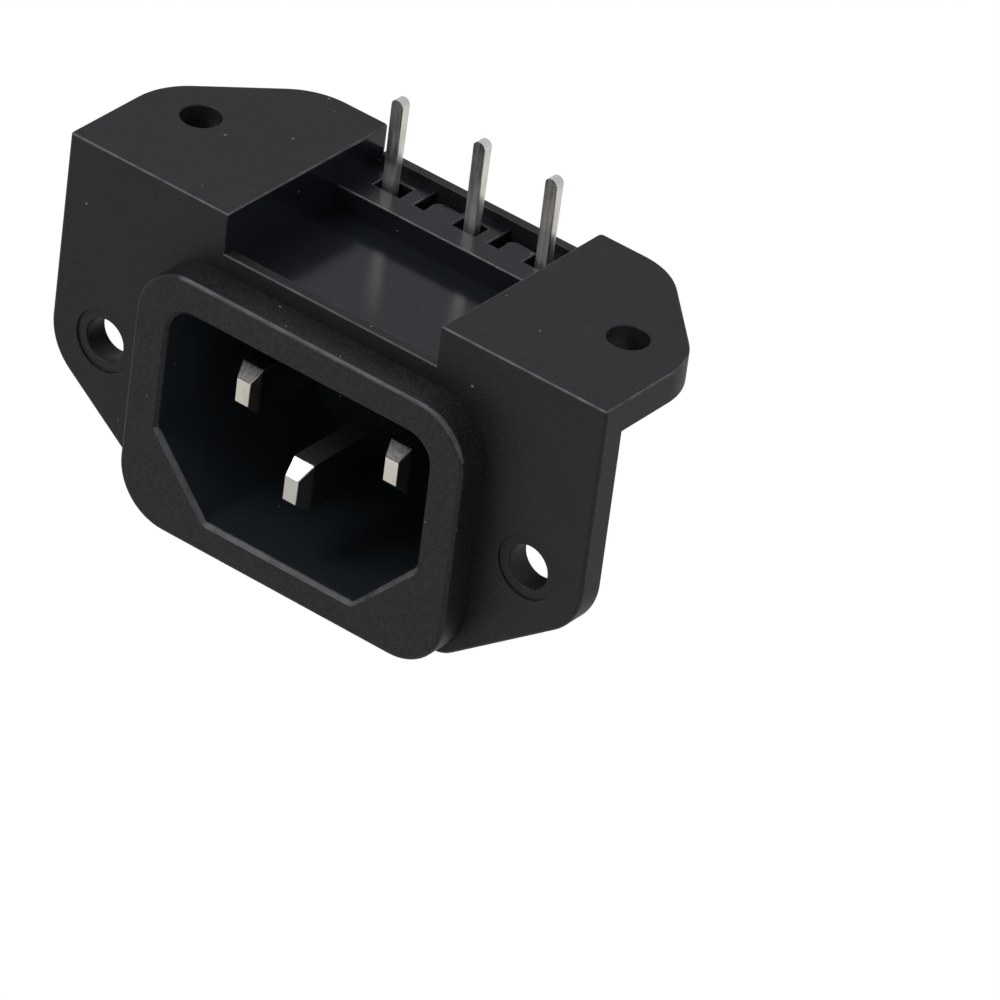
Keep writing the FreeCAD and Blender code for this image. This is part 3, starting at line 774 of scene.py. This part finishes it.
class Dresser:
    """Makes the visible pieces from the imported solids."""

    def __init__(self, materials: dict[Slot, bpy.types.Material]) -> None:
        """Keep the materials and choose what marks each slot gets.

        Args:
            materials: Finished material of each slot.
        """
        self.materials = materials
        self.polish: dict[Slot, Callable[[bpy.types.Mesh], np.ndarray]] = {
            Slot.HOUSING: housing_polish, Slot.TERMINAL: side_polish}
        # Painted highlight on the housing rims, painted dark reflection on the blades
        self.painted_light: dict[Slot, Callable[[bpy.types.Mesh], np.ndarray]] = {
            Slot.HOUSING: MeshWork.rim_sheen, Slot.BLADE: MeshWork.nose_shade}
        # Painted fill light in the recess
        self.painted_fill: dict[Slot, Callable[[bpy.types.Mesh], np.ndarray]] = {
            Slot.HOUSING: recess_fill}

    def dress(self, piece: Piece) -> bpy.types.Object:
        """Make one piece, let it ride on the frame and stand for its solid.

        Args:
            piece: What to make.

        Returns:
            The new object.
        """
        mesh = MeshWork.softened(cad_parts[piece.node], piece.edge, piece.name)
        MeshWork.store(mesh, "polish", self.polish.get(piece.slot, no_marks)(mesh))
        MeshWork.store(mesh, "painted_light", self.painted_light.get(piece.slot, no_marks)(mesh))
        MeshWork.store(mesh, "painted_fill", self.painted_fill.get(piece.slot, no_marks)(mesh))
        made = bpy.data.objects.new(piece.name, mesh)
        bpy.context.scene.collection.objects.link(made)
        mesh.materials.append(self.materials[piece.slot])
        smooth = made.modifiers.new("flat_faces", "WEIGHTED_NORMAL")
        smooth.mode = "FACE_AREA"
        smooth.weight = NORMAL_WEIGHT
        smooth.keep_sharp = True
        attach(made, "root")
        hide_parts(piece.node)
        LOG.info("%s: %d faces", piece.name, len(mesh.polygons))
        return made


class Studio:
    """Floor, light and camera."""

    @staticmethod
    def floor() -> bpy.types.Object:
        """White floor that the object stands on.

        Returns:
            The floor, which is left out of the part.
        """
        half = FLOOR_HALF_M
        low = (FLANGE_BOTTOM_MM - FLOOR_GAP_MM) * MM
        mesh = bpy.data.meshes.new("floor")
        mesh.from_pydata([(-half, -half, low), (half, -half, low), (half, half, low),
                          (-half, half, low)], [], [(0, 1, 2, 3)])
        made = bpy.data.objects.new("floor", mesh)
        bpy.context.scene.collection.objects.link(made)
        g = ShaderGraph(bpy.data.materials.new("floor_white"))
        seen = g.node("ShaderNodeLightPath", "Is Camera Ray")
        mirrored = g.node("ShaderNodeLightPath", "Is Glossy Ray")
        paper = g.node("ShaderNodeBsdfDiffuse", "BSDF", inputs={"Color": rgba(FLOOR_PAPER)})
        white = g.node("ShaderNodeEmission", "Emission", inputs={
            "Color": rgba(WHITE), "Strength": FLOOR_SEEN})
        mirror = g.node("ShaderNodeEmission", "Emission", inputs={
            "Color": rgba(FLOOR_TINT), "Strength": FLOOR_MIRRORED})
        lower = g.node("ShaderNodeMixShader", 0, inputs={0: mirrored, 1: paper, 2: mirror})
        mesh.materials.append(g.finish(
            g.node("ShaderNodeMixShader", 0, inputs={0: seen, 1: lower, 2: white})))
        return made

    @staticmethod
    def sky() -> None:
        """Soft surrounding light; the camera sees plain white."""
        world = bpy.data.worlds.new("studio")
        bpy.context.scene.world = world
        g = ShaderGraph(world, "ShaderNodeOutputWorld")
        seen = g.node("ShaderNodeLightPath", "Is Camera Ray")
        soft = g.node("ShaderNodeBackground", "Background", inputs={
            "Color": rgba(SKY_COLOUR), "Strength": SKY_STRENGTH})
        white = g.node("ShaderNodeBackground", "Background", inputs={"Color": rgba(WHITE)})
        g.finish(g.node("ShaderNodeMixShader", 0, inputs={0: seen, 1: soft, 2: white}))

    @staticmethod
    def light(box: SoftBox) -> None:
        """Square area light. Its power is radiance * pi * size squared.

        Args:
            box: Place, size and colour of the light.
        """
        data = bpy.data.lights.new(box.name, "AREA")
        data.shape = "SQUARE"
        data.size = box.size_m
        data.energy = box.radiance * math.pi * box.size_m ** 2
        data.color = box.colour
        made = bpy.data.objects.new(box.name, data)
        toward = Vector(box.direction).normalized()
        made.location = toward * box.distance_m
        made.rotation_euler = toward.to_track_quat("Z", "Y").to_euler()
        bpy.context.scene.collection.objects.link(made)

    @staticmethod
    def camera(fit: CameraFit) -> None:
        """Camera at the fitted viewpoint.

        forward = (-sin yaw cos pitch, cos yaw cos pitch, -sin pitch)
        place = right * r + up * u - distance * forward

        Args:
            fit: The fitted viewpoint.
        """
        flat = math.cos(fit.pitch)
        forward = Vector((-math.sin(fit.yaw) * flat, math.cos(fit.yaw) * flat,
                          -math.sin(fit.pitch)))
        level = Vector((math.cos(fit.yaw), math.sin(fit.yaw), 0.0))
        above = level.cross(forward)
        turn_cos, turn_sin = math.cos(fit.roll), math.sin(fit.roll)
        right = level * turn_cos + above * turn_sin
        up = above * turn_cos - level * turn_sin
        place = right * fit.right + up * fit.up - forward * fit.distance
        data = bpy.data.cameras.new("camera")
        data.sensor_fit = "HORIZONTAL"
        data.sensor_width = SENSOR_MM
        data.lens = fit.lens
        data.clip_start = CLIP_NEAR_M
        data.clip_end = CLIP_FAR_M
        made = bpy.data.objects.new("camera", data)
        axes = Matrix((right, up, -forward)).transposed().to_4x4()
        made.matrix_world = Matrix.Translation(place * MM) @ axes
        bpy.context.scene.collection.objects.link(made)
        bpy.context.scene.camera = made


def main() -> None:
    """Build the whole scene."""
    logging.basicConfig(level=logging.INFO, format="%(name)s %(message)s")
    materials = {
        Slot.HOUSING: PlasticShader(HOUSING_FINISH).build(),
        Slot.COVER: PlasticShader(COVER_FINISH).build(),
        Slot.BLADE: MetalShader(BLADE_FINISH).build(),
        Slot.TERMINAL: MetalShader(TERMINAL_FINISH).build(),
    }
    dresser = Dresser(materials)
    for piece in PIECES:
        dresser.dress(piece)
    Studio.floor()
    Studio.sky()
    for box in LIGHTS:
        Studio.light(box)
    Studio.camera(CAMERA)
    bpy.context.scene.view_settings.view_transform = "Standard"


if __name__ == "__main__":
    main()
